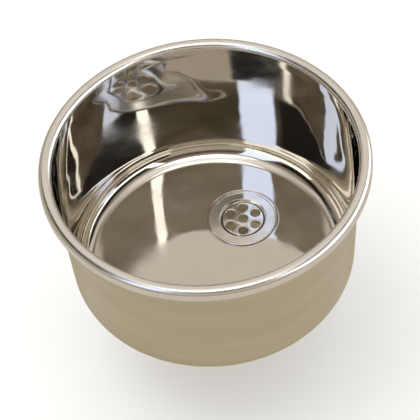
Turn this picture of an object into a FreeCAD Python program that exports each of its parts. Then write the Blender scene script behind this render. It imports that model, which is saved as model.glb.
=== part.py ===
import FreeCAD, Part
import math
import os
import Sketcher
from FreeCAD import Placement, Rotation, Vector

# An inset foot bath: a round drawn bowl that hangs by its rolled rim in a round cut-out,
# with a bottom waste. Z = 0 is the flat underside of the rim, where it rests on the bench,
# Z is the bowl's axis, and the waste stands off the axis towards +Y. Millimetres.

doc = FreeCAD.newDocument("foot_bath")
sheet = doc.addObject("Spreadsheet::Sheet", "Sizes")

SIZES = {
    # bowl
    "rim_radius": 190.0,
    "rim_top": 16.5,
    "rim_roll": 7.0,
    "rim_lip_roll": 4.0,
    "rim_lip_radius": 179.5,
    "sheet_metal": 1.2,
    "mouth_radius": 174.9,
    "mouth_land": 2.0,
    "base_radius": 170.6,
    "base_roll": 25.0,
    "bowl_depth": 172.5,
    # drain seat, pressed into the floor of the bowl
    "drain_offset": 67.0,
    "seat_radius": 44.5,
    "seat_depth": 1.5,
    "seat_roll": 1.0,
    "drain_hole": 32.0,
    # waste body, from its flange down
    "seal_inside": 33.0,
    "seal_radius": 41.0,
    "seal_thick": 0.6,
    "flange_radius": 42.2,
    "flange_thick": 2.0,
    "flange_roll": 0.9,
    "flange_bead": 40.4,
    "flange_dish": 1.4,
    "throat_radius": 29.6,
    "pocket_radius": 27.9,
    "pocket_top": 0.1,
    "step_radius": 25.9,
    "step_top": 1.9,
    "ledge_radius": 24.4,
    "ledge_top": 2.6,
    "ledge_bottom": 3.9,
    "cup_inside": 28.6,
    "cup_radius": 31.0,
    "cup_inner_top": 7.0,
    "cup_inner_floor": 41.5,
    "cup_floor": 44.5,
    "cup_roll": 6.0,
    "nipple_inside": 21.4,
    "nipple_radius": 23.9,
    "nipple_end": 64.0,
    # strainer plate
    "plate_radius": 25.6,
    "plate_thick": 1.5,
    "plate_gap": 0.3,
    "plate_edge": 0.5,
    "hole_radius": 6.2,
    "first_hole_along": 17.6,
    "first_hole_aside": 3.8,
    "collar_radius": 8.2,
    "collar_rise": 1.0,
    "centre_hole": 6.7,
    "lug_width": 1.7,
    "lug_reach": 28.0,
    "notch_width": 2.1,
    "notch_reach": 28.4,
    "waste_turn": -70.0,
    # below the bowl
    "washer_inside": 31.3,
    "gasket_radius": 42.0,
    "gasket_thick": 3.0,
    "friction_radius": 41.0,
    "friction_thick": 1.0,
    "nut_inside": 31.1,
    "nut_radius": 38.0,
    "nut_thick": 9.0,
    "nut_lug_reach": 43.0,
    "nut_lug_width": 3.5,
    "nut_foot_radius": 40.5,
    "nut_foot_thick": 2.5,
    # tailpiece and its slip nut
    "tail_inside": 18.05,
    "tail_radius": 19.05,
    "tail_flange": 23.2,
    "tail_flange_thick": 1.2,
    "tail_roll": 1.0,
    "tail_collar": 19.8,
    "tail_collar_length": 5.0,
    "tail_length": 90.0,
    "tail_washer_inside": 20.0,
    "tail_washer_radius": 23.4,
    "tail_washer_thick": 2.0,
    "slip_nut_inside": 24.0,
    "slip_nut_collar": 26.4,
    "slip_nut_top": 47.5,
    "slip_nut_skirt": 18.0,
    "slip_nut_floor": 2.2,
    "slip_nut_hole": 20.2,
}

for row, (alias, number) in enumerate(SIZES.items(), start=1):
    sheet.set(f"A{row}", alias)
    sheet.set(f"B{row}", str(number))
    sheet.setAlias(f"B{row}", alias)
doc.recompute()

NUT_LUGS = 8
PLATE_HOLES = 6


def value(text):
    """The number that a sum such as 'cup_radius - seal_thick' gives."""
    total = 0.0
    sign = 1.0
    for word in text.split():
        if word in "+-":
            sign = -1.0 if word == "-" else 1.0
        else:
            total += sign * SIZES[word]
            sign = 1.0
    return total


def formula(text):
    """The same sum, as an expression on the sheet's cells."""
    return " ".join(word if word in "+-" else f"Sizes.{word}" for word in text.split())


def new_body(name):
    body = doc.addObject("PartDesign::Body", name)
    body.Label = name
    return body


def origin_plane(body, role):
    return next(item for item in body.Origin.OriginFeatures if item.Role == role)


def new_sketch(body, name, role, height=None):
    """A sketch on one of the body's own planes, raised along its normal by a sum of sizes."""
    sketch = body.newObject("Sketcher::SketchObject", name)
    sketch.AttachmentSupport = [(origin_plane(body, role), "")]
    sketch.MapMode = "FlatFace"
    if height:
        sketch.setExpression("AttachmentOffset.Base.z", formula(height))
    return sketch


def bind(sketch, kind, *where, size):
    """A dimension whose number is a sum of sizes."""
    index = sketch.addConstraint(Sketcher.Constraint(kind, *where, value(size)))
    sketch.setExpression(f"Constraints[{index}]", formula(size))


def place_point(sketch, geometry, point, across, along):
    """Hold a point at two sums of sizes from the sketch's origin; None means on that axis."""
    if across is None:
        sketch.addConstraint(Sketcher.Constraint("PointOnObject", geometry, point, -2))
    else:
        bind(sketch, "DistanceX", -1, 1, geometry, point, size=across)
    if along is None:
        sketch.addConstraint(Sketcher.Constraint("PointOnObject", geometry, point, -1))
    else:
        bind(sketch, "DistanceY", -1, 1, geometry, point, size=along)


def rounded(before, corner, after, radius):
    """The arc that rounds a corner: its geometry, its two ends in order and whether it runs backwards."""
    back = (before - corner).normalize()
    ahead = (after - corner).normalize()
    half = back.getAngle(ahead) / 2
    start = corner + back * (radius / math.tan(half))
    end = corner + ahead * (radius / math.tan(half))
    centre = corner + (back + ahead).normalize() * (radius / math.sin(half))
    backwards = back.cross(ahead).z > 0
    first, last = (end, start) if backwards else (start, end)
    angles = [math.atan2(p.y - centre.y, p.x - centre.x) for p in (first, last)]
    arc = Part.ArcOfCircle(Part.Circle(centre, Vector(0, 0, 1), radius), *angles)
    return arc, start, end, backwards


def outline(sketch, corners):
    """A closed outline through corners (across, along, rounding radius or None), all sums of sizes."""
    spots = [Vector(value(a) if a else 0, value(b) if b else 0, 0) for a, b, _ in corners]
    count = len(corners)
    arcs = {}
    for i, (_, _, radius) in enumerate(corners):
        if radius:
            arcs[i] = rounded(spots[i - 1], spots[i], spots[(i + 1) % count], value(radius))
    for i in range(count):
        j = (i + 1) % count
        start = arcs[i][2] if i in arcs else spots[i]
        end = arcs[j][1] if j in arcs else spots[j]
        sketch.addGeometry(Part.LineSegment(start, end))
    for i, (across, along, radius) in enumerate(corners):
        before = (i - 1) % count
        if i not in arcs:
            sketch.addConstraint(Sketcher.Constraint("Coincident", before, 2, i, 1))
            place_point(sketch, i, 1, across, along)
            continue
        arc, _, _, backwards = arcs[i]
        first, last = (2, 1) if backwards else (1, 2)
        bend = sketch.addGeometry(arc)
        sketch.addConstraint(Sketcher.Constraint("Tangent", before, 2, bend, first))
        sketch.addConstraint(Sketcher.Constraint("Tangent", i, 1, bend, last))
        bind(sketch, "Radius", bend, size=radius)
        corner = sketch.addGeometry(Part.Point(spots[i]), True)
        sketch.addConstraint(Sketcher.Constraint("PointOnObject", corner, 1, before))
        sketch.addConstraint(Sketcher.Constraint("PointOnObject", corner, 1, i))
        place_point(sketch, corner, 1, across, along)


def circle(sketch, radius, across=None, along=None):
    spot = Vector(value(across) if across else 0, value(along) if along else 0, 0)
    ring = sketch.addGeometry(Part.Circle(spot, Vector(0, 0, 1), value(radius)))
    bind(sketch, "Radius", ring, size=radius)
    place_point(sketch, ring, 3, across, along)


def turned(body, name, corners):
    """A revolved solid, from an outline in the XZ plane."""
    sketch = new_sketch(body, f"{name}_outline", "XZ_Plane")
    outline(sketch, corners)
    revolution = body.newObject("PartDesign::Revolution", name)
    revolution.Profile = sketch
    revolution.ReferenceAxis = (sketch, ["V_Axis"])
    revolution.Angle = 360.0
    doc.recompute()
    return revolution


def extruded(body, name, kind, sketch, length, down=False):
    """A pad or pocket of a sketch, as deep as a sum of sizes."""
    feature = body.newObject(f"PartDesign::{kind}", name)
    feature.Profile = sketch
    feature.setExpression("Length", formula(length))
    feature.Reversed = down
    doc.recompute()
    return feature


def ring(name, inside, outside, thick):
    """A flat ring that lies on Z = 0 of its own frame."""
    body = new_body(name)
    sketch = new_sketch(body, f"{name}_outline", "XY_Plane")
    circle(sketch, inside)
    circle(sketch, outside)
    extruded(body, f"{name}_pad", "Pad", sketch, thick)
    return body


def radial_block(body, name, kind, height, inner, outer, half_width, thick, down=False):
    """A block that runs out from the axis along +X, added or cut away."""
    sketch = new_sketch(body, f"{name}_outline", "XY_Plane", height)
    low = f"- {half_width}"
    outline(sketch, [
        (inner, low, None),
        (outer, low, None),
        (outer, half_width, None),
        (inner, half_width, None),
    ])
    return extruded(body, name, kind, sketch, thick, down)


def round_pattern(body, name, feature, count):
    """Repeat a feature about the body's Z axis."""
    pattern = body.newObject("PartDesign::PolarPattern", name)
    pattern.Originals = [feature]
    pattern.Axis = (feature.Profile[0], ["N_Axis"])
    pattern.Angle = 360.0
    pattern.Occurrences = count
    body.Tip = pattern
    doc.recompute()
    return pattern


def edges_at(shape, radius, height, near=0.05):
    """The names of a shape's round edges of one radius at one height."""
    names = []
    for number, edge in enumerate(shape.Edges, start=1):
        curve = edge.Curve
        if isinstance(curve, Part.Circle) and abs(curve.Radius - radius) < near:
            if abs(curve.Center.z - height) < near:
                names.append(f"Edge{number}")
    return names


def round_edges(body, name, base, edges, radius):
    fillet = body.newObject("PartDesign::Fillet", name)
    fillet.Base = (base, edges)
    fillet.setExpression("Radius", formula(radius))
    doc.recompute()
    return fillet


def place_on_waste(body, height, turn=None):
    """Move a piece of the waste from its own frame to its place under the bowl."""
    body.setExpression("Placement.Base.y", "Sizes.drain_offset")
    body.setExpression("Placement.Base.z", formula(height))
    if turn:
        body.Placement = Placement(Vector(0, 0, 0), Rotation(Vector(0, 0, 1), value(turn)))
        body.setExpression("Placement.Rotation.Angle", formula(turn))


# Heights that several pieces share, as sums of sizes.
FLOOR = "- bowl_depth + sheet_metal"
SEAT = f"{FLOOR} - seat_depth"
SEAT_UNDER = f"{SEAT} - sheet_metal"
FLANGE = f"{SEAT} + seal_thick"
GASKET_UNDER = f"{SEAT_UNDER} - gasket_thick"
FRICTION_UNDER = f"{GASKET_UNDER} - friction_thick"
NUT_UNDER = f"{FRICTION_UNDER} - nut_thick"
NIPPLE_END = f"{FLANGE} - nipple_end"
TAIL_TOP = f"{NIPPLE_END} - tail_washer_thick"


def build_bowl():
    """The drawn shell: flat floor, rounded base, tapered wall, straight mouth, rim rolled out and under."""
    body = new_body("bowl_shell")
    shell = turned(body, "shell", [
        (None, FLOOR, None),
        ("base_radius - sheet_metal", FLOOR, "base_roll - sheet_metal"),
        ("mouth_radius", "- mouth_land", None),
        ("mouth_radius", "rim_top", "rim_roll"),
        ("rim_radius", "rim_top", "rim_roll"),
        ("rim_radius", None, "rim_lip_roll"),
        ("rim_lip_radius", None, None),
        ("rim_lip_radius", "sheet_metal", None),
        ("rim_radius - sheet_metal", "sheet_metal", "rim_lip_roll - sheet_metal"),
        ("rim_radius - sheet_metal", "rim_top - sheet_metal", "rim_roll - sheet_metal"),
        ("mouth_radius + sheet_metal", "rim_top - sheet_metal", "rim_roll - sheet_metal"),
        ("mouth_radius + sheet_metal", "- mouth_land", None),
        ("base_radius", "- bowl_depth", "base_roll"),
        (None, "- bowl_depth", None),
    ])
    volume = shell.Shape.Volume

    boss = new_sketch(body, "seat_boss_outline", "XY_Plane", "- bowl_depth")
    circle(boss, "seat_radius + sheet_metal", None, "drain_offset")
    pad = extruded(body, "seat_boss", "Pad", boss, "seat_depth", down=True)
    assert pad.Shape.Volume > volume

    recess = new_sketch(body, "seat_recess_outline", "XY_Plane", FLOOR)
    circle(recess, "seat_radius", None, "drain_offset")
    pocket = extruded(body, "seat_recess", "Pocket", recess, "seat_depth")
    assert pocket.Shape.Volume < pad.Shape.Volume

    hole = new_sketch(body, "drain_hole_outline", "XY_Plane", FLOOR)
    circle(hole, "drain_hole", None, "drain_offset")
    cut = extruded(body, "drain_opening", "Pocket", hole, "seat_depth + sheet_metal + sheet_metal")
    assert cut.Shape.Volume < pocket.Shape.Volume

    brink = edges_at(cut.Shape, value("seat_radius"), value(FLOOR))
    round_edges(body, "seat_brink", cut, brink, "seat_roll")
    return body


def build_waste_body():
    """Flange, cup with a ledge for the strainer plate, and threaded outlet nipple, in one piece."""
    body = new_body("waste_body")
    turned(body, "waste_turned", [
        ("flange_radius", None, None),
        ("flange_radius", "flange_thick", "flange_roll"),
        ("flange_bead", "flange_thick", None),
        ("throat_radius", "flange_dish", None),
        ("pocket_radius", "- pocket_top", None),
        ("pocket_radius", "- step_top", None),
        ("step_radius", "- step_top", None),
        ("step_radius", "- ledge_top", None),
        ("ledge_radius", "- ledge_top", None),
        ("ledge_radius", "- ledge_bottom", None),
        ("cup_inside", "- cup_inner_top", None),
        ("cup_inside", "- cup_inner_floor", "cup_roll"),
        ("nipple_inside", "- cup_inner_floor", None),
        ("nipple_inside", "- nipple_end", None),
        ("nipple_radius", "- nipple_end", None),
        ("nipple_radius", "- cup_floor", None),
        ("cup_radius", "- cup_floor", "cup_roll"),
        ("cup_radius", None, None),
    ])
    volume = body.Shape.Volume
    notch = radial_block(
        body, "lug_notch", "Pocket", "flange_thick",
        "ledge_radius", "notch_reach", "notch_width", "flange_thick + ledge_top",
    )
    assert notch.Shape.Volume < volume
    place_on_waste(body, FLANGE, "waste_turn")
    return body


def build_strainer_plate():
    """A round plate with a ring of holes, a collared hole in the middle and a locating lug."""
    body = new_body("strainer_plate")
    disc = new_sketch(body, "plate_outline", "XY_Plane")
    circle(disc, "plate_radius")
    plate = extruded(body, "plate_disc", "Pad", disc, "plate_thick")
    rim = edges_at(plate.Shape, value("plate_radius"), value("plate_thick"))
    plate = round_edges(body, "plate_rim", plate, rim, "plate_edge")

    lug = radial_block(
        body, "lug", "Pad", None, "collar_radius", "lug_reach", "lug_width", "plate_thick - plate_edge",
    )
    collar = new_sketch(body, "collar_outline", "XY_Plane", "plate_thick")
    circle(collar, "collar_radius")
    raised = extruded(body, "collar", "Pad", collar, "collar_rise")
    assert raised.Shape.Volume > lug.Shape.Volume > plate.Shape.Volume
    crest = edges_at(raised.Shape, value("collar_radius"), value("plate_thick + collar_rise"))
    crown = round_edges(body, "collar_crest", raised, crest, "plate_edge")

    middle = new_sketch(body, "centre_hole_outline", "XY_Plane", "plate_thick + collar_rise")
    circle(middle, "centre_hole")
    bored = extruded(body, "centre_bore", "Pocket", middle, "plate_thick + collar_rise")
    assert bored.Shape.Volume < crown.Shape.Volume

    first = new_sketch(body, "hole_outline", "XY_Plane", "plate_thick")
    circle(first, "hole_radius", "first_hole_along", "first_hole_aside")
    hole = extruded(body, "hole", "Pocket", first, "plate_thick")
    pattern = round_pattern(body, "hole_ring", hole, PLATE_HOLES)
    assert pattern.Shape.Volume < hole.Shape.Volume < bored.Shape.Volume
    place_on_waste(body, f"{FLANGE} - ledge_top + plate_gap", "waste_turn")
    return body


def build_lock_nut():
    """The large nut that pulls the flange down: a threaded ring with a foot and lugs for a spanner."""
    body = new_body("lock_nut")
    sketch = new_sketch(body, "nut_outline", "XY_Plane")
    circle(sketch, "nut_radius")
    blank = extruded(body, "nut_blank", "Pad", sketch, "nut_thick")
    foot = new_sketch(body, "nut_foot_outline", "XY_Plane", "nut_thick")
    circle(foot, "nut_foot_radius")
    flanged = extruded(body, "nut_foot", "Pad", foot, "nut_foot_thick", down=True)
    assert flanged.Shape.Volume > blank.Shape.Volume
    lug = radial_block(
        body, "nut_lug", "Pad", None, "nut_inside", "nut_lug_reach", "nut_lug_width",
        "nut_thick - nut_foot_thick",
    )
    lugs = round_pattern(body, "nut_lugs", lug, NUT_LUGS)
    bore = new_sketch(body, "nut_bore_outline", "XY_Plane", "nut_thick")
    circle(bore, "nut_inside")
    bored = extruded(body, "nut_bore", "Pocket", bore, "nut_thick")
    assert bored.Shape.Volume < lugs.Shape.Volume
    place_on_waste(body, NUT_UNDER)
    return body


def build_tailpiece():
    """A flanged tube that carries the water on to the trap."""
    body = new_body("tailpiece")
    turned(body, "tail_turned", [
        ("tail_inside", None, "tail_roll"),
        ("tail_inside", "- tail_length", None),
        ("tail_radius", "- tail_length", None),
        ("tail_radius", "- tail_collar_length", None),
        ("tail_collar", "- tail_collar_length", None),
        ("tail_collar", "- tail_flange_thick", None),
        ("tail_flange", "- tail_flange_thick", None),
        ("tail_flange", None, None),
    ])
    place_on_waste(body, TAIL_TOP)
    return body


def hexagon(sketch, flat):
    """A hexagon about the origin, as six equal sides that touch a circle of the given radius."""
    across = value(flat) / math.cos(math.radians(30.0))
    corners = [
        Vector(across * math.cos(math.radians(60.0 * k)), across * math.sin(math.radians(60.0 * k)), 0)
        for k in range(6)
    ]
    for k in range(6):
        sketch.addGeometry(Part.LineSegment(corners[k], corners[(k + 1) % 6]))
    guide = sketch.addGeometry(Part.Circle(Vector(0, 0, 0), Vector(0, 0, 1), value(flat)), True)
    sketch.addConstraint(Sketcher.Constraint("Coincident", guide, 3, -1, 1))
    bind(sketch, "Radius", guide, size=flat)
    for k in range(6):
        sketch.addConstraint(Sketcher.Constraint("Coincident", k, 2, (k + 1) % 6, 1))
        sketch.addConstraint(Sketcher.Constraint("Tangent", k, guide))
        if k:
            sketch.addConstraint(Sketcher.Constraint("Equal", 0, k))
    sketch.addConstraint(Sketcher.Constraint("PointOnObject", 0, 1, -1))


def build_slip_nut():
    """A hexagon nut with a round skirt; its floor holds the tailpiece's flange to the nipple."""
    body = new_body("slip_nut")
    skirt = new_sketch(body, "slip_skirt_outline", "XY_Plane")
    circle(skirt, "slip_nut_collar")
    low = extruded(body, "slip_skirt", "Pad", skirt, "slip_nut_skirt")
    flats = new_sketch(body, "slip_hexagon_outline", "XY_Plane", "slip_nut_skirt")
    hexagon(flats, "slip_nut_collar + slip_nut_floor")
    blank = extruded(body, "slip_hexagon", "Pad", flats, "slip_nut_skirt - slip_nut_floor", down=True)
    assert blank.Shape.Volume > low.Shape.Volume
    way = new_sketch(body, "slip_hole_outline", "XY_Plane", "slip_nut_floor")
    circle(way, "slip_nut_hole")
    holed = extruded(body, "slip_hole", "Pocket", way, "slip_nut_floor")
    thread = new_sketch(body, "slip_thread_outline", "XY_Plane", "slip_nut_skirt")
    circle(thread, "slip_nut_inside")
    bored = extruded(body, "slip_thread", "Pocket", thread, "slip_nut_skirt - slip_nut_floor")
    assert bored.Shape.Volume < holed.Shape.Volume < blank.Shape.Volume
    place_on_waste(body, f"{TAIL_TOP} - tail_flange_thick - slip_nut_floor")
    return body


def build_all():
    seal = ring("flange_seal", "seal_inside", "seal_radius", "seal_thick")
    place_on_waste(seal, SEAT)
    gasket = ring("rubber_gasket", "washer_inside", "gasket_radius", "gasket_thick")
    place_on_waste(gasket, GASKET_UNDER)
    friction = ring("friction_ring", "washer_inside", "friction_radius", "friction_thick")
    place_on_waste(friction, FRICTION_UNDER)
    washer = ring("tail_washer", "tail_washer_inside", "tail_washer_radius", "tail_washer_thick")
    place_on_waste(washer, TAIL_TOP)
    pieces = [
        build_bowl(),
        seal,
        build_waste_body(),
        build_strainer_plate(),
        gasket,
        friction,
        build_lock_nut(),
        washer,
        build_tailpiece(),
        build_slip_nut(),
    ]
    doc.recompute()
    return pieces


pieces = build_all()
for item in doc.Objects:
    if "Invalid" in item.State or "Error" in item.State:
        raise SystemExit(f"{item.Label} failed: {item.State}")
for piece in pieces:
    if piece.Shape.isNull() or not piece.Shape.isValid() or len(piece.Shape.Solids) != 1:
        raise SystemExit(f"{piece.Label} has no valid solid")

os.makedirs("parts", exist_ok=True)
for piece in pieces:
    piece.Shape.exportStep(f"parts/{piece.Label}.step")
    box = piece.Shape.BoundBox
    print(f"{piece.Label:16s} volume {piece.Shape.Volume:10.1f}  "
          f"Z {box.ZMin:8.2f} to {box.ZMax:8.2f}  X {box.XMin:7.2f} to {box.XMax:7.2f}")
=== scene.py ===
import math
from collections import namedtuple

import bpy
from mathutils import Matrix, Vector


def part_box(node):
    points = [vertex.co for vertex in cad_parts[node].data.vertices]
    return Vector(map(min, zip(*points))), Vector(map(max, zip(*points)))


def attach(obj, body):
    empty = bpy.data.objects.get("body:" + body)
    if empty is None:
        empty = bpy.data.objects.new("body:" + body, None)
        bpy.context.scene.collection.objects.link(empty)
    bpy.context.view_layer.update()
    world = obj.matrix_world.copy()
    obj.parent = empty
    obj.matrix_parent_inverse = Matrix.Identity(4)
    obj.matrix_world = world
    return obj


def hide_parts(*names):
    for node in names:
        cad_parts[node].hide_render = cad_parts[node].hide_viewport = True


# An inset foot bath in polished steel with a strainer waste. Metres. Z is the bowl's axis, and
# Z = 0 is the flat underside of the rim. The waste stands off the axis towards +Y.

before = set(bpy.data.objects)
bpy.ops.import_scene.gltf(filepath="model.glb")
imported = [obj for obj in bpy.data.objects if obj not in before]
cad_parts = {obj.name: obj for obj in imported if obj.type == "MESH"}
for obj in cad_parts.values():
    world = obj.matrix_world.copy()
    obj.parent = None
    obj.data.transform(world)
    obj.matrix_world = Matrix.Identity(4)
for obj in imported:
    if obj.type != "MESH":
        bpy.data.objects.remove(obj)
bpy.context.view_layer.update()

MM = 0.001
TURN = 2.0 * math.pi


# ------------------------------------------------------------------ places from the frame
def top_of(node):
    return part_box(node)[1][2]


def bottom_of(node):
    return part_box(node)[0][2]


WASTE_LOW, WASTE_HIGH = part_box("waste_body")
DRAIN_Y = (WASTE_LOW[1] + WASTE_HIGH[1]) / 2
RIM_TOP = top_of("bowl_shell")
FLOOR_LEVEL = bottom_of("tailpiece")
WASTE_BASE = bottom_of("flange_seal") + 0.6 * MM
PLATE_BASE = bottom_of("strainer_plate")

# The drawn bowl's own sizes.
RIM_RADIUS = 190.0 * MM
RIM_ROLL = 7.0 * MM
LIP_ROLL = 4.0 * MM
LIP_RADIUS = 179.5 * MM
SHEET = 1.2 * MM
MOUTH_RADIUS = 174.9 * MM
MOUTH_LAND = -2.0 * MM
MOUTH_BLEND = 120.0 * MM
BASE_RADIUS = 170.6 * MM
BASE_ROLL = 25.0 * MM
BASE = -172.5 * MM
FLAT_RADIUS = 145.0 * MM
SEAT_RADIUS = 44.5 * MM
SEAT_DEPTH = 1.5 * MM
SEAT_ROLL = 1.0 * MM
SEAT_CORNER = 0.4 * MM
DRAIN_HOLE = 32.0 * MM

# How the waste is turned: its lug, and the first hole of the plate measured from the lug.
WASTE_TURN = math.radians(-70.0)
HOLE_TURN = math.atan2(3.8, 17.6)


# ------------------------------------------------------------------ turned meshes
# A turned piece is an outline of corners, with the air on the left of the way it runs: up the
# inside, outwards over the top, down the outside and inwards underneath. A corner may be
# rounded, and rows cuts the straight stretch that leaves it into finer rows.
Corner = namedtuple("Corner", "radius height rounding slot centre rows", defaults=(0.0, 0, 0.0, 1))
Spot = namedtuple("Spot", "radius height centre outwards upwards")


def straight(start, end, centre_start, centre_end, rows):
    """The spots along a straight stretch. One that joins two centres is level."""
    across, up = end.x - start.x, end.y - start.y
    length = math.hypot(across, up)
    spots = []
    for i in range(rows + 1):
        share = i / rows
        centre = centre_start + (centre_end - centre_start) * share
        x, y = start.x + across * share, start.y + up * share
        spots.append(Spot(x, y, centre, -up / length, across / length))
    return spots


def bend(before, corner, after, radius, centre_y):
    """The spots along the arc that rounds a corner."""
    back = (before - corner).normalized()
    ahead = (after - corner).normalized()
    half = back.angle(ahead) / 2
    centre = corner + (back + ahead).normalized() * (radius / math.sin(half))
    arm = corner + back * (radius / math.tan(half)) - centre
    way = 1.0 if back.cross(ahead) < 0 else -1.0
    turn = math.pi - 2 * half
    steps = max(3, round(math.degrees(turn) / (4 if radius > 3 * MM else 12)))
    spots = []
    for i in range(steps + 1):
        spoke = Matrix.Rotation(way * turn * i / steps, 2) @ arm
        normal = spoke * (-way / radius)
        spots.append(Spot(centre.x + spoke.x, centre.y + spoke.y, centre_y, normal.x, normal.y))
    return spots


def outline(corners):
    """The closed outline through the corners, as stretches of (slot, spots)."""
    places = [Vector((c.radius, c.height)) for c in corners]
    count = len(corners)
    arcs = {}
    for i, corner in enumerate(corners):
        if corner.rounding:
            after = places[(i + 1) % count]
            arcs[i] = bend(places[i - 1], places[i], after, corner.rounding, corner.centre)
    stretches = []
    for i, corner in enumerate(corners):
        j = (i + 1) % count
        start = Vector(arcs[i][-1][:2]) if i in arcs else places[i]
        end = Vector(arcs[j][0][:2]) if j in arcs else places[j]
        if i in arcs:
            stretches.append((corner.slot, arcs[i]))
        if (end - start).length > 0.001 * MM:
            run = straight(start, end, corner.centre, corners[j].centre, corner.rows)
            stretches.append((corner.slot, run))
    return stretches


def new_piece(name, verts, faces, slots=None):
    mesh = bpy.data.meshes.new(name)
    mesh.from_pydata(verts, [], faces)
    mesh.polygons.foreach_set("use_smooth", [True] * len(faces))
    if slots:
        mesh.polygons.foreach_set("material_index", slots)
    piece = bpy.data.objects.new(name, mesh)
    bpy.context.scene.collection.objects.link(piece)
    return piece


def lathe(name, corners, steps, shape=None):
    """A piece turned about Z. shape(radius, height, angle) may move what isn't round."""
    verts, faces, normals, slots = [], [], [], []
    ways = [(math.cos(TURN * k / steps), math.sin(TURN * k / steps)) for k in range(steps)]
    rings = {}

    def ring(spot):
        key = tuple(round(v / MM, 4) for v in spot[:3])
        if key not in rings:
            rings[key] = len(verts)
            for k, (c, s) in enumerate(ways):
                r, z = spot.radius, spot.height
                if shape:
                    r, z = shape(r, z, TURN * k / steps)
                verts.append((r * c, spot.centre + r * s, z))
        return rings[key]

    for slot, spots in outline(corners):
        for near, far in zip(spots, spots[1:]):
            a, b = ring(near), ring(far)
            for k in range(steps):
                m = (k + 1) % steps
                faces.append((a + k, b + k, b + m, a + m))
                slots.append(slot)
                for spot, way in ((near, k), (far, k), (far, m), (near, m)):
                    c, s = ways[way]
                    normals.append((spot.outwards * c, spot.outwards * s, spot.upwards))
    piece = new_piece(name, verts, faces, slots)
    if shape:
        piece.data.set_sharp_from_angle(angle=math.radians(32))
    else:
        piece.data.normals_split_custom_set(normals)
    return piece


def on_drain(base, *rows):
    """Corners in millimetres about the drain's axis: (radius, height, rounding, rows, slot)."""
    corners = []
    for row in rows:
        radius, height, rounding, cuts, slot = row + (0.0, 1, 0)[len(row) - 2:]
        corners.append(Corner(radius * MM, base + height * MM, rounding * MM, slot, DRAIN_Y, cuts))
    return corners


def threaded(radius, low, high, pitch, depth, inwards=1.0):
    """A shape for lathe that cuts a thread into one wall; the thread fades in at both ends."""
    def shape(r, z, angle):
        if abs(r - radius) > 0.01 * MM or not low < z < high:
            return r, z
        phase = (z / pitch - angle / TURN) % 1.0
        fade = min(1.0, (z - low) / pitch, (high - z) / pitch)
        return r - inwards * depth * fade * abs(2.0 * phase - 1.0), z

    return shape


# ------------------------------------------------------------------ material tools
def srgb(red, green, blue):
    """A colour given as it shows, 0 to 255, as linear light."""
    parts = []
    for part in (red, green, blue):
        share = part / 255.0
        parts.append(share / 12.92 if share <= 0.04045 else ((share + 0.055) / 1.055) ** 2.4)
    return parts


class Nodes:
    """Adds and joins the shader nodes of one material or world."""

    def __init__(self, owner, output="ShaderNodeOutputMaterial"):
        self.owner = owner
        owner.use_nodes = True
        self.tree = owner.node_tree
        self.tree.nodes.clear()
        self.out = self.add(output)

    def add(self, kind, **values):
        node = self.tree.nodes.new(kind)
        for key, value in values.items():
            setattr(node, key, value)
        return node

    def feed(self, socket, value):
        """Link an output into a socket, or set a number on it."""
        if isinstance(value, (int, float)):
            socket.default_value = value
        elif isinstance(value, (list, tuple)):
            socket.default_value = (*value, 1.0)
        else:
            self.tree.links.new(value, socket)

    def math(self, operation, *inputs):
        node = self.add("ShaderNodeMath", operation=operation)
        for socket, value in zip(node.inputs, inputs):
            self.feed(socket, value)
        return node.outputs[0]

    def split(self, vector):
        node = self.add("ShaderNodeSeparateXYZ")
        self.feed(node.inputs[0], vector)
        return node.outputs

    def place(self):
        return self.add("ShaderNodeTexCoord").outputs["Object"]

    def around(self, centre_y, rings, arcs, levels):
        """Coordinates that run round a vertical axis: radius, angle and height, each scaled."""
        x, raw_y, z = self.split(self.place())
        y = self.math("SUBTRACT", raw_y, centre_y)
        square = self.math("ADD", self.math("MULTIPLY", x, x), self.math("MULTIPLY", y, y))
        angle = self.math("ABSOLUTE", self.math("ARCTAN2", y, x))
        join = self.add("ShaderNodeCombineXYZ")
        self.feed(join.inputs[0], self.math("MULTIPLY", self.math("SQRT", square), rings))
        self.feed(join.inputs[1], self.math("MULTIPLY", angle, arcs))
        self.feed(join.inputs[2], self.math("MULTIPLY", z, levels))
        return join.outputs[0]

    def noise(self, scale, detail, vector=None, rough=0.5):
        node = self.add("ShaderNodeTexNoise")
        self.feed(node.inputs["Scale"], scale)
        self.feed(node.inputs["Detail"], detail)
        self.feed(node.inputs["Roughness"], rough)
        self.feed(node.inputs["Vector"], vector or self.place())
        return node.outputs["Fac"]

    def ramp(self, value, *stops):
        """Colours along a value, from stops of (place, linear colour)."""
        node = self.add("ShaderNodeValToRGB")
        elements = node.color_ramp.elements
        while len(elements) < len(stops):
            elements.new(0.5)
        for element, (place, colour) in zip(elements, stops):
            element.position = place
            element.color = (*colour, 1.0)
        self.feed(node.inputs[0], value)
        return node.outputs[0]

    def span(self, value, low, high, to_low, to_high, soft=False):
        kind = "SMOOTHSTEP" if soft else "LINEAR"
        node = self.add("ShaderNodeMapRange", interpolation_type=kind)
        for socket, number in zip(node.inputs, (value, low, high, to_low, to_high)):
            self.feed(socket, number)
        return node.outputs[0]

    def bump(self, height, strength, distance, under=None):
        node = self.add("ShaderNodeBump")
        self.feed(node.inputs["Strength"], strength)
        self.feed(node.inputs["Distance"], distance)
        self.feed(node.inputs["Height"], height)
        if under:
            self.feed(node.inputs["Normal"], under)
        return node.outputs[0]

    def finish(self, colour, roughness, normal, metallic=1.0):
        shader = self.add("ShaderNodeBsdfPrincipled")
        self.feed(shader.inputs["Metallic"], metallic)
        self.feed(shader.inputs["Base Color"], colour)
        self.feed(shader.inputs["Roughness"], roughness)
        self.feed(shader.inputs["Normal"], normal)
        self.feed(self.out.inputs["Surface"], shader.outputs[0])
        return self.owner


def new_nodes(name):
    return Nodes(bpy.data.materials.new(name))


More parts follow.
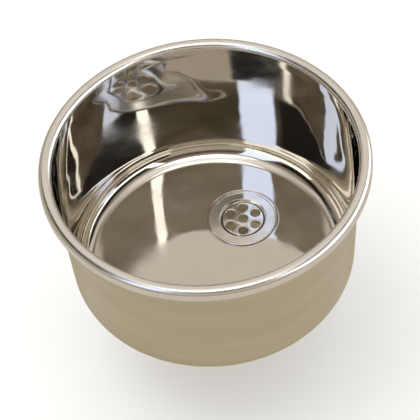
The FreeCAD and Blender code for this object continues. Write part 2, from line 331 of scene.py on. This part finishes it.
# ------------------------------------------------------------------ materials
def mirror_steel():
    """Mirror polish inside the bowl, slightly wavy, with the floor scuffed in fine swirls."""
    n = new_nodes("steel_mirror")
    smears = n.noise(9.0, 4.0)
    _, _, height = n.split(n.place())
    on_floor = n.span(height, BASE + 2 * MM, BASE + 9 * MM, 1.0, 0.0, soft=True)
    worn = n.math("MULTIPLY", n.span(n.noise(18.0, 3.0), 0.42, 0.68, 0.1, 1.0), on_floor)
    swirls = n.math("MULTIPLY", worn, n.noise(1.0, 5.0, n.around(-0.03, 420.0, 6.0, 420.0), 0.65))
    colour = n.ramp(smears, (0.3, (0.77, 0.745, 0.70)), (0.7, (0.82, 0.795, 0.75)))
    rough = n.math("ADD", n.span(smears, 0.35, 0.75, 0.03, 0.06), n.math("MULTIPLY", swirls, 0.24))
    waves = n.bump(n.noise(11.0, 1.5), 1.0, 1.8 * MM)
    return n.finish(colour, rough, n.bump(swirls, 0.3, 0.03 * MM, waves))


def rim_steel():
    """The rolled rim: polished, with the bloom of a buffing wheel."""
    n = new_nodes("steel_rim")
    grain = n.noise(1.0, 4.0, n.around(0.0, 700.0, 9.0, 700.0), 0.6)
    blotch = n.noise(20.0, 3.0)
    colour = n.ramp(blotch, (0.3, (0.90, 0.90, 0.90)), (0.7, (0.96, 0.96, 0.96)))
    return n.finish(colour, n.span(grain, 0.3, 0.7, 0.2, 0.3), n.bump(grain, 0.1, 0.03 * MM))


def satin_steel():
    """The outside of the bowl: satin, with faint level bands left by drawing the sheet."""
    n = new_nodes("steel_satin")
    lines = n.noise(1.0, 4.0, n.around(0.0, 260.0, 3.5, 620.0), 0.6)
    bands = n.noise(1.0, 3.0, n.around(0.0, 12.0, 0.8, 50.0))
    colour = n.ramp(bands, (0.3, (0.67, 0.64, 0.52)), (0.7, (0.73, 0.70, 0.58)))
    return n.finish(colour, n.span(lines, 0.3, 0.7, 0.26, 0.38), n.bump(lines, 0.15, 0.04 * MM))


def turned_steel():
    """The waste: turned stainless steel, its tool lines running round the drain."""
    n = new_nodes("steel_turned")
    lines = n.noise(1.0, 4.0, n.around(DRAIN_Y, 1500.0, 5.0, 600.0), 0.65)
    blotch = n.noise(90.0, 3.0)
    colour = n.ramp(blotch, (0.3, (0.82, 0.81, 0.78)), (0.7, (0.90, 0.89, 0.86)))
    return n.finish(colour, n.span(lines, 0.3, 0.7, 0.17, 0.25), n.bump(lines, 0.05, 0.02 * MM))


def stained_steel():
    """The inside of the cup, dulled and tanned by what runs through it."""
    n = new_nodes("steel_stained")
    stains = n.noise(130.0, 4.0)
    colour = n.ramp(stains, (0.3, (0.86, 0.75, 0.56)), (0.7, (0.95, 0.87, 0.70)))
    return n.finish(colour, n.span(stains, 0.3, 0.7, 0.4, 0.55), n.bump(stains, 0.3, 0.1 * MM), 0.0)


def painted_groove_shade():
    """Painted shade: a dark, mottled colour in the groove round the plate that stands in for the shadow in
    that gap.
    """
    n = new_nodes("painted_groove_shade")
    shade_mottle = n.noise(600.0, 4.0)
    colour = n.ramp(shade_mottle, (0.3, srgb(34, 31, 24)), (0.7, srgb(74, 68, 54)))
    return n.finish(colour, n.span(shade_mottle, 0.3, 0.7, 0.55, 0.8), n.bump(shade_mottle, 0.4, 0.1 * MM), 0.0)


def chrome_tube():
    n = new_nodes("chrome_tube")
    lines = n.noise(1.0, 4.0, n.around(DRAIN_Y, 300.0, 5.0, 900.0), 0.6)
    colour = n.ramp(n.noise(60.0, 3.0), (0.3, (0.60, 0.60, 0.60)), (0.7, (0.71, 0.71, 0.70)))
    return n.finish(colour, n.span(lines, 0.3, 0.7, 0.08, 0.18), n.bump(lines, 0.1, 0.02 * MM))


def cast_brass():
    n = new_nodes("cast_brass")
    tarnish = n.noise(45.0, 4.0)
    colour = n.ramp(
        tarnish, (0.3, srgb(150, 112, 58)), (0.55, srgb(196, 155, 88)), (0.75, srgb(214, 178, 112)),
    )
    return n.finish(colour, n.span(tarnish, 0.3, 0.7, 0.45, 0.3), n.bump(n.noise(700.0, 4.0), 0.3, 0.1 * MM))


def black_rubber():
    n = new_nodes("black_rubber")
    bloom = n.noise(70.0, 4.0)
    colour = n.ramp(bloom, (0.3, srgb(24, 24, 25)), (0.7, srgb(52, 51, 49)))
    rough = n.span(bloom, 0.3, 0.7, 0.6, 0.8)
    return n.finish(colour, rough, n.bump(n.noise(900.0, 4.0), 0.3, 0.06 * MM), 0.0)


def red_fibre():
    n = new_nodes("red_fibre")
    flecks = n.noise(1500.0, 5.0, rough=0.7)
    colour = n.ramp(flecks, (0.35, srgb(92, 38, 26)), (0.5, srgb(128, 58, 40)), (0.65, srgb(154, 88, 64)))
    return n.finish(colour, n.span(flecks, 0.3, 0.7, 0.6, 0.85), n.bump(flecks, 0.4, 0.06 * MM), 0.0)


def grey_putty():
    n = new_nodes("grey_putty")
    lumps = n.noise(240.0, 4.0)
    colour = n.ramp(lumps, (0.3, srgb(166, 162, 150)), (0.7, srgb(198, 194, 182)))
    return n.finish(colour, n.span(lumps, 0.3, 0.7, 0.5, 0.7), n.bump(lumps, 0.5, 0.2 * MM), 0.0)


def white_plastic():
    n = new_nodes("white_plastic")
    grain = n.noise(500.0, 3.0)
    colour = n.ramp(n.noise(60.0, 3.0), (0.3, srgb(220, 219, 211)), (0.7, srgb(238, 237, 232)))
    return n.finish(colour, n.span(grain, 0.3, 0.7, 0.38, 0.52), n.bump(grain, 0.2, 0.04 * MM), 0.0)


# ------------------------------------------------------------------ pieces
def belongs(piece, body, node, slot, *materials):
    """Give a piece its materials and its body, and hide the CAD node it stands for. The slot is not used."""
    for material in materials:
        piece.data.materials.append(material)
    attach(piece, body)
    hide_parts(node)


def make_bowl():
    """One closed sheet: seat, floor, wall, rolled rim, and the same again underneath."""
    inside, rim, outside = 0, 1, 2
    floor = BASE + SHEET
    seat_under = SEAT_RADIUS + SHEET
    corners = [
        Corner(DRAIN_HOLE, floor - SEAT_DEPTH, 0.0, inside, DRAIN_Y),
        Corner(SEAT_RADIUS, floor - SEAT_DEPTH, SEAT_CORNER, inside, DRAIN_Y),
        Corner(SEAT_RADIUS, floor, SEAT_ROLL, inside, DRAIN_Y),
        Corner(SEAT_RADIUS + 3 * SEAT_ROLL, floor, 0.0, inside, DRAIN_Y),
        Corner(FLAT_RADIUS, floor, 0.0, inside),
        Corner(BASE_RADIUS - SHEET, floor, BASE_ROLL - SHEET, inside),
        Corner(MOUTH_RADIUS, MOUTH_LAND, MOUTH_BLEND, inside),
        Corner(MOUTH_RADIUS, RIM_TOP, RIM_ROLL, rim),
        Corner(RIM_RADIUS, RIM_TOP, RIM_ROLL, rim),
        Corner(RIM_RADIUS, 0.0, LIP_ROLL, rim),
        Corner(LIP_RADIUS, 0.0, 0.0, rim),
        Corner(LIP_RADIUS, SHEET, 0.0, outside),
        Corner(RIM_RADIUS - SHEET, SHEET, LIP_ROLL - SHEET, outside),
        Corner(RIM_RADIUS - SHEET, RIM_TOP - SHEET, RIM_ROLL - SHEET, outside),
        Corner(MOUTH_RADIUS + SHEET, RIM_TOP - SHEET, RIM_ROLL - SHEET, outside),
        Corner(MOUTH_RADIUS + SHEET, MOUTH_LAND, MOUTH_BLEND, outside),
        Corner(BASE_RADIUS, BASE, BASE_ROLL, outside),
        Corner(FLAT_RADIUS, BASE, 0.0, outside),
        Corner(seat_under + 2 * SEAT_ROLL, BASE, 0.0, outside, DRAIN_Y),
        Corner(seat_under, BASE, SEAT_CORNER, outside, DRAIN_Y),
        Corner(seat_under, BASE - SEAT_DEPTH, SEAT_CORNER, outside, DRAIN_Y),
        Corner(DRAIN_HOLE, BASE - SEAT_DEPTH, 0.0, outside, DRAIN_Y),
    ]
    piece = lathe("bowl", corners, 360)
    belongs(piece, "bath", "bowl_shell", "polished_steel", mirror_steel(), rim_steel(), satin_steel())


def make_waste_body(steel, stained, shade_finish):
    """Flange, conical throat with a ledge for the plate, threaded cup and threaded nipple."""
    base = WASTE_BASE
    cup = threaded(31.0 * MM, base - 36.0 * MM, base - 3.0 * MM, 2.0 * MM, 0.8 * MM)
    nipple = threaded(23.9 * MM, base - 63.5 * MM, base - 48.0 * MM, 2.2 * MM, 0.8 * MM)
    # The notch for the plate's lug. Its floor keeps a trace of the heights, so no face collapses.
    notch_half, notch_inner, notch_outer = 2.1 / 27.5, 25.8 * MM, 28.3 * MM
    notch_floor, trace = base - 2.5 * MM, 0.03

    def shape(r, z, angle):
        off_lug = abs((angle - WASTE_TURN + math.pi) % TURN - math.pi)
        if off_lug < notch_half and notch_inner < r < notch_outer and notch_floor < z < base:
            return r, notch_floor + trace * (z - base)
        return nipple(*cup(r, z, angle), angle)

    # Slot 2, on the ledge and tread round the plate, is painted shade: a dark colour standing in for the
    # shadow in the groove.
    corners = on_drain(
        base,
        (21.4, -64.0, 0.0, 1, 1), (21.4, -41.5, 0.5, 1, 1), (28.6, -41.5, 6.0, 1, 1),
        (28.6, -7.0, 0.0, 1, 1), (24.4, -3.9, 0.0, 1, 1),
        (24.4, -2.6, 0.0, 1, 2), (25.9, -2.6, 0.0, 1, 2), (25.9, -1.9, 0.0, 1, 2), (26.8, -1.9), (27.9, -0.1),
        (29.6, 1.9, 0.6), (39.7, 1.1, 0.2), (40.4, 1.6, 0.2), (42.2, 1.5, 0.7), (42.2, 0.0),
        (31.0, 0.0), (31.0, -3.0, 0.0, 132), (31.0, -36.0), (31.0, -44.5, 6.0), (23.9, -44.5),
        (23.9, -48.0, 0.0, 62), (23.9, -63.5), (23.9, -64.0),
    )
    piece = lathe("waste_flange_and_cup", corners, 180, shape)
    belongs(piece, "bath", "waste_body", "waste_steel", steel, stained, shade_finish)


def make_strainer_plate(steel, shade_finish):
    """A round plate with six holes whose edges are rolled over, a collared middle and a lug."""
    thick, collar_top, roll = 1.5, 2.5, 1.1
    plate_edge, flat_edge, flat_start = 25.6, 25.1, 8.9
    hole_radius, hole_circle = 6.2, 17.9
    sector, steps, around = 60, 40, 360
    lug_half, lug_reach, lug_top = math.radians(3.7), 28.0, 1.0
    verts, faces, index = [], [], {}

    def vert(x, y, z):
        key = tuple(round(v, 4) for v in (x, y, z))
        if key not in index:
            index[key] = len(verts)
            c, s = math.cos(WASTE_TURN), math.sin(WASTE_TURN)
            verts.append(((x * c - y * s) * MM, DRAIN_Y + (x * s + y * c) * MM, PLATE_BASE + z * MM))
        return index[key]

    def strip(rows):
        """Faces between closed rows of vertices that run anticlockwise, outermost row last."""
        for low, high in zip(rows, rows[1:]):
            for k in range(len(low)):
                m = (k + 1) % len(low)
                faces.append((low[k], high[k], high[m], low[m]))

    def round_row(radius, z):
        return [
            vert(radius * math.cos(a), radius * math.sin(a), z)
            for a in (HOLE_TURN + math.radians(i) for i in range(around))
        ]

    def cell_border(radius_in, radius_out, middle):
        """Points round one hole's share of the plate, anticlockwise."""
        half = math.radians(sector / 2)
        points = [(radius_out, middle - half + math.radians(i)) for i in range(sector)]
        points += [(radius_out + (radius_in - radius_out) * i / steps, middle + half) for i in range(steps)]
        points += [(radius_in, middle + half - math.radians(i)) for i in range(sector)]
        points += [(radius_in + (radius_out - radius_in) * i / steps, middle - half) for i in range(steps)]
        return [(r * math.cos(a), r * math.sin(a)) for r, a in points]

    # Over the rolled edge of a hole, down through it and out underneath: (radius, height).
    through = [(hole_radius + 0.3, 0.0), (hole_radius, 0.3), (hole_radius, thick - roll)]
    for i in range(1, 7):
        angle = math.radians(15 * i)
        through.append((hole_radius + roll * (1 - math.cos(angle)), thick - roll * (1 - math.sin(angle))))
    for k in range(6):
        middle = HOLE_TURN + math.radians(sector * k)
        hx, hy = hole_circle * math.cos(middle), hole_circle * math.sin(middle)
        border = cell_border(flat_start, flat_edge, middle)
        rows = [[vert(x, y, 0.0) for x, y in border]]
        ways = [Vector((x - hx, y - hy)).normalized() for x, y in border]
        for radius, z in through:
            rows.append([vert(hx + radius * w.x, hy + radius * w.y, z) for w in ways])
        rows.append([vert(x, y, thick) for x, y in border])
        strip(rows)

    # Up through the collared middle, over its rounded crest and down on to the plate.
    crest = [(flat_start, 0.0), (6.7, 0.0), (6.7, collar_top - 0.7)]
    for i in range(1, 7):
        angle = math.radians(180 - 30 * i)
        crest.append((7.45 + 0.75 * math.cos(angle), collar_top - 0.75 * (1 - math.sin(angle))))
    crest += [(8.2, thick + 0.4), (8.35, thick + 0.12), (flat_start, thick)]
    strip([round_row(radius, z) for radius, z in crest])

    # Over the plate's rounded edge and back underneath, with the lug standing out of it.
    def lug_row(radius, z, reach):
        row = []
        for i in range(around):
            angle = HOLE_TURN + math.radians(i)
            near_lug = abs((angle + math.pi) % TURN - math.pi) < lug_half
            r = reach if near_lug else radius
            row.append(vert(r * math.cos(angle), r * math.sin(angle), z))
        return row

    rim = [round_row(flat_edge, thick)]
    for angle in (math.radians(a) for a in (30, 60, 85)):
        rim.append(round_row(flat_edge + 0.5 * math.sin(angle), thick - 0.5 * (1 - math.cos(angle))))
    rim.append(lug_row(plate_edge, lug_top - 0.02, lug_reach - 0.2))
    rim.append(lug_row(plate_edge, lug_top - 0.2, lug_reach))
    rim.append(lug_row(plate_edge, 0.15, lug_reach))
    rim.append(lug_row(plate_edge - 0.15, 0.0, lug_reach - 0.15))
    rim.append(round_row(flat_edge, 0.0))
    # The rounded edge keeps the steel. Below it the plate's side takes the painted shade of the groove round
    # it.
    steel_rows = 4
    steel_face_count = len(faces) + steel_rows * around
    strip(rim)
    slots = [0] * steel_face_count + [1] * (len(faces) - steel_face_count)

    piece = new_piece("strainer_plate_visual", verts, faces, slots)
    piece.data.set_sharp_from_angle(angle=math.radians(40))
    belongs(piece, "strainer", "strainer_plate", "waste_steel", steel, shade_finish)


def make_flat_rings():
    """The putty under the flange, the gasket and fibre ring under the bowl, and the tail washer."""
    base = bottom_of("flange_seal")
    putty = lathe("flange_putty", on_drain(
        base, (33.0, 0.0), (33.0, 0.6), (41.0, 0.6, 0.2), (41.0, 0.0, 0.2),
    ), 120)
    belongs(putty, "bath", "flange_seal", "sealant", grey_putty())

    base = bottom_of("rubber_gasket")
    rubber = lathe("gasket", on_drain(
        base, (31.3, 0.0, 0.3), (31.3, 3.0, 0.3), (41.4, 3.0, 0.4), (42.0, 1.5, 1.5), (41.4, 0.0, 0.4),
    ), 120)
    belongs(rubber, "bath", "rubber_gasket", "black_rubber", black_rubber())

    base = bottom_of("friction_ring")
    fibre = lathe("fibre_ring", on_drain(
        base, (31.3, 0.0), (31.3, 1.0), (41.0, 1.0, 0.15), (41.0, 0.0, 0.15),
    ), 120)
    belongs(fibre, "bath", "friction_ring", "fibre", red_fibre())

    base = bottom_of("tail_washer")
    washer = lathe("nylon_washer", on_drain(
        base, (20.0, 0.0, 0.3), (20.0, 2.0, 0.3), (23.4, 2.0, 0.3), (23.4, 0.0, 0.3),
    ), 120)
    belongs(washer, "bath", "tail_washer", "white_plastic", white_plastic())


def make_lock_nut(brass):
    """The big nut under the bowl: a foot ring, eight lugs for a spanner, and its thread."""
    base = bottom_of("lock_nut")
    lug_gap, lug_half, lug_reach = TURN / 8, 3.5 / 40.5, 43.0 * MM
    bore = threaded(31.1 * MM, base, base + 9.0 * MM, 2.0 * MM, 0.8 * MM, -1.0)

    def shape(r, z, angle):
        off_lug = abs((angle + lug_gap / 2) % lug_gap - lug_gap / 2)
        if abs(r - 38.0 * MM) < 0.01 * MM and z < base + 6.45 * MM and off_lug < lug_half:
            return lug_reach, z
        if abs(r - 37.6 * MM) < 0.01 * MM and off_lug < lug_half:
            return lug_reach - 0.4 * MM, z
        return bore(r, z, angle)

    corners = on_drain(
        base,
        (31.9, 0.0), (31.1, 0.4, 0.0, 33), (31.1, 8.6), (31.9, 9.0), (40.5, 9.0, 0.4), (40.5, 6.5, 0.4),
        (38.0, 6.5), (38.0, 6.4), (38.0, 0.4), (37.6, 0.0),
    )
    belongs(lathe("spanner_nut", corners, 360, shape), "bath", "lock_nut", "brass_nut", brass)


def make_slip_nut(brass):
    """A hexagon nut with chamfered corners, a round skirt and a floor that holds the tailpiece."""
    base = bottom_of("slip_nut")
    flat, chamfer_start, chamfer_slope = 28.6 * MM, 30.6 * MM, 1.6
    bore = threaded(24.0 * MM, base + 3.0 * MM, base + 17.6 * MM, 2.2 * MM, 0.8 * MM, -1.0)

    def shape(r, z, angle):
        if abs(r - flat) > 0.01 * MM:
            return bore(r, z, angle)
        from_flat = math.radians(math.degrees(angle) % 60 - 30)
        to_edge = min(base + 18.0 * MM - z, z - base - 2.2 * MM)
        return min(flat / math.cos(from_flat), chamfer_start + chamfer_slope * to_edge), z

    corners = on_drain(
        base,
        (20.2, 0.0), (20.2, 2.2), (24.0, 2.2), (24.0, 3.0, 0.0, 54), (24.0, 17.6), (24.4, 18.0),
        (28.6, 18.0, 0.0, 5), (28.6, 16.4, 0.0, 2), (28.6, 3.8, 0.0, 5), (28.6, 2.2),
        (26.4, 2.2), (26.4, 0.0, 0.5),
    )
    belongs(lathe("hexagon_nut", corners, 240, shape), "bath", "slip_nut", "brass_nut", brass)


def make_tailpiece():
    """The flanged tube to the trap, with a deburred lower end."""
    top = top_of("tailpiece")
    corners = on_drain(
        top,
        (18.05, -90.0, 0.2), (18.05, 0.0, 1.0), (23.2, 0.0, 0.3), (23.2, -1.2, 0.3), (19.8, -1.2),
        (19.8, -5.0, 0.5), (19.05, -5.0), (19.05, -90.0, 0.3),
    )
    belongs(lathe("tail_tube", corners, 120), "bath", "tailpiece", "tube_steel", chrome_tube())


# ------------------------------------------------------------------ stage
# Studio panels stand on a large sphere round the bath. Azimuths are measured as the views are,
# from the camera's side. They are plain soft boxes and dark flags, for polished steel to mirror.
# Each stands a little nearer than the one before, so a later panel covers an earlier one.
PANEL_DISTANCE = 20.0
PANEL_SPACING = 0.2
Panel = namedtuple("Panel", "name azimuth width low high colour strength")
WHITE = (255, 252, 246)
COOL = (214, 226, 255)
WARM_GREY = (224, 212, 198)
BLACK = (34, 30, 26)

PANELS = (
    Panel("overhead_box", 0, 140, 65, 85, WHITE, 2.0),
    Panel("side_box", 90, 90, 0, 40, WHITE, 1.8),
    Panel("backdrop", 180, 140, 30, 70, WARM_GREY, 0.85),
    Panel("flag_left", 260, 80, 20, 50, BLACK, 1.0),
    Panel("flag_right", 90, 90, 40, 52, BLACK, 1.0),
    Panel("left_box", 315, 30, 20, 60, COOL, 1.6),
    Panel("right_strip", 45, 10, 20, 60, WHITE, 1.8),
    Panel("low_bounce", 0, 300, -60, -15, WARM_GREY, 0.8),
)
CAMERA_AZIMUTH = math.radians(37.0)


def panel_material(panel):
    """Plain light with soft edges."""
    n = new_nodes(panel.name)
    fade = 0.08
    across, up, _ = n.split(n.add("ShaderNodeTexCoord").outputs["UV"])
    edges = [
        n.span(n.math("PINGPONG", value, 0.5), 0.0, fade, 0.0, 1.0, soft=True)
        for value in (across, up)
    ]
    light = n.add("ShaderNodeEmission")
    n.feed(light.inputs["Color"], srgb(*panel.colour))
    n.feed(light.inputs["Strength"], panel.strength)
    mix = n.add("ShaderNodeMixShader")
    n.feed(mix.inputs[0], n.math("MULTIPLY", *edges))
    n.feed(mix.inputs[1], n.add("ShaderNodeBsdfTransparent").outputs[0])
    n.feed(mix.inputs[2], light.outputs[0])
    n.feed(n.out.inputs["Surface"], mix.outputs[0])
    return n.owner


def make_panel(panel, distance):
    """A curved panel that only the steel's reflections see."""
    steps = 24
    verts, faces = [], []
    for i in range(steps + 1):
        azimuth = math.radians(panel.azimuth + panel.width * (i / steps - 0.5)) + CAMERA_AZIMUTH
        for j in range(steps + 1):
            rise = math.radians(panel.low + (panel.high - panel.low) * j / steps)
            way = Vector((
                math.sin(azimuth) * math.cos(rise), -math.cos(azimuth) * math.cos(rise), math.sin(rise),
            ))
            verts.append(way * distance)
    for i in range(steps):
        for j in range(steps):
            a = i * (steps + 1) + j
            faces.append((a, a + steps + 1, a + steps + 2, a + 1))
    board = new_piece(panel.name, verts, faces)
    spread = board.data.uv_layers.new(name="spread")
    for loop in board.data.loops:
        i, j = divmod(loop.vertex_index, steps + 1)
        spread.data[loop.index].uv = (i / steps, j / steps)
    board.data.materials.append(panel_material(panel))
    board.visible_camera = False
    board.visible_diffuse = False
    board.visible_shadow = False


def make_floor():
    n = new_nodes("studio_floor")
    mottle = n.noise(3.0, 3.0)
    colour = n.ramp(mottle, (0.3, (0.90, 0.90, 0.895)), (0.7, (0.92, 0.92, 0.915)))
    n.finish(colour, 0.9, n.bump(n.noise(60.0, 3.0), 0.05, MM), 0.0)
    reach = 12.0
    ways = ((-1, -1), (1, -1), (1, 1), (-1, 1))
    corners = [(x * reach, y * reach, FLOOR_LEVEL) for x, y in ways]
    floor = new_piece("studio_floor", corners, [(0, 1, 2, 3)])
    floor.data.materials.append(n.owner)
    floor.visible_glossy = False


def make_world():
    """Pale light all round. What the steel mirrors is warm low down, dark above that, white at the top."""
    world = bpy.data.worlds.new("studio")
    bpy.context.scene.world = world
    n = Nodes(world, "ShaderNodeOutputWorld")
    _, _, height = n.split(n.add("ShaderNodeTexCoord").outputs["Generated"])
    gradient = n.ramp(
        n.span(height, -1.0, 1.0, 0.0, 1.0),
        (0.0, srgb(190, 176, 146)),
        (0.5, srgb(150, 138, 114)),
        (0.7, srgb(200, 188, 168)),
        (0.85, srgb(66, 57, 44)),
        (0.93, srgb(150, 138, 122)),
        (0.97, srgb(236, 229, 220)),
        (1.0, srgb(255, 252, 246)),
    )
    mirrored = n.add("ShaderNodeBackground")
    n.feed(mirrored.inputs["Color"], gradient)
    pale = n.add("ShaderNodeBackground")
    n.feed(pale.inputs["Color"], (1.0, 0.995, 0.98))
    n.feed(pale.inputs["Strength"], 1.1)
    mix = n.add("ShaderNodeMixShader")
    n.feed(mix.inputs[0], n.add("ShaderNodeLightPath").outputs["Is Glossy Ray"])
    n.feed(mix.inputs[1], pale.outputs[0])
    n.feed(mix.inputs[2], mirrored.outputs[0])
    n.feed(n.out.inputs["Surface"], mix.outputs[0])


def make_lamp():
    """One large soft lamp overhead, for a gentle shadow under the bath."""
    data = bpy.data.lights.new("overhead", "AREA")
    data.shape = "DISK"
    data.size = 1.6
    data.energy = 12.0
    lamp = bpy.data.objects.new("overhead", data)
    lamp.location = (-0.6, -0.4, 2.0)
    lamp.rotation_euler = (-lamp.location).to_track_quat("-Z", "Y").to_euler()
    lamp.visible_glossy = False
    bpy.context.scene.collection.objects.link(lamp)


def make_camera():
    """Looks down into the bowl from in front, slightly rolled, with the rim above the middle."""
    elevation, distance, roll = math.radians(49.67), 1.768, math.radians(-5.72)
    aside, below = 0.0037, 0.0341
    focal_length, near_clip = 133.8, 0.05
    aim = Vector((0.0, 0.0, RIM_TOP))
    back = Vector((
        math.sin(CAMERA_AZIMUTH) * math.cos(elevation),
        -math.cos(CAMERA_AZIMUTH) * math.cos(elevation),
        math.sin(elevation),
    ))
    level = (-back).cross(Vector((0.0, 0.0, 1.0))).normalized()
    lift = level.cross(-back)
    across = level * math.cos(roll) + lift * math.sin(roll)
    up = lift * math.cos(roll) - level * math.sin(roll)
    toward = (-back + across * aside - up * below).normalized()
    side = toward.cross(up).normalized()
    data = bpy.data.cameras.new("camera")
    data.lens = focal_length
    data.clip_start = near_clip
    camera = bpy.data.objects.new("camera", data)
    axes = Matrix((side, side.cross(toward), -toward)).transposed()
    camera.matrix_world = Matrix.Translation(aim + back * distance) @ axes.to_4x4()
    bpy.context.scene.collection.objects.link(camera)
    bpy.context.scene.camera = camera


# ------------------------------------------------------------------ all of it
bpy.context.scene.view_settings.view_transform = "Standard"
make_camera()
make_world()
make_lamp()
make_floor()
for place, each in enumerate(PANELS):
    make_panel(each, PANEL_DISTANCE - PANEL_SPACING * place)

make_bowl()
waste_finish = turned_steel()
# The groove's finish is painted shade: a dark colour where the gap round the plate lies in shadow.
groove_shade_finish = painted_groove_shade()
make_waste_body(waste_finish, stained_steel(), groove_shade_finish)
make_strainer_plate(waste_finish, groove_shade_finish)
make_flat_rings()
brass_finish = cast_brass()
make_lock_nut(brass_finish)
make_slip_nut(brass_finish)
make_tailpiece()
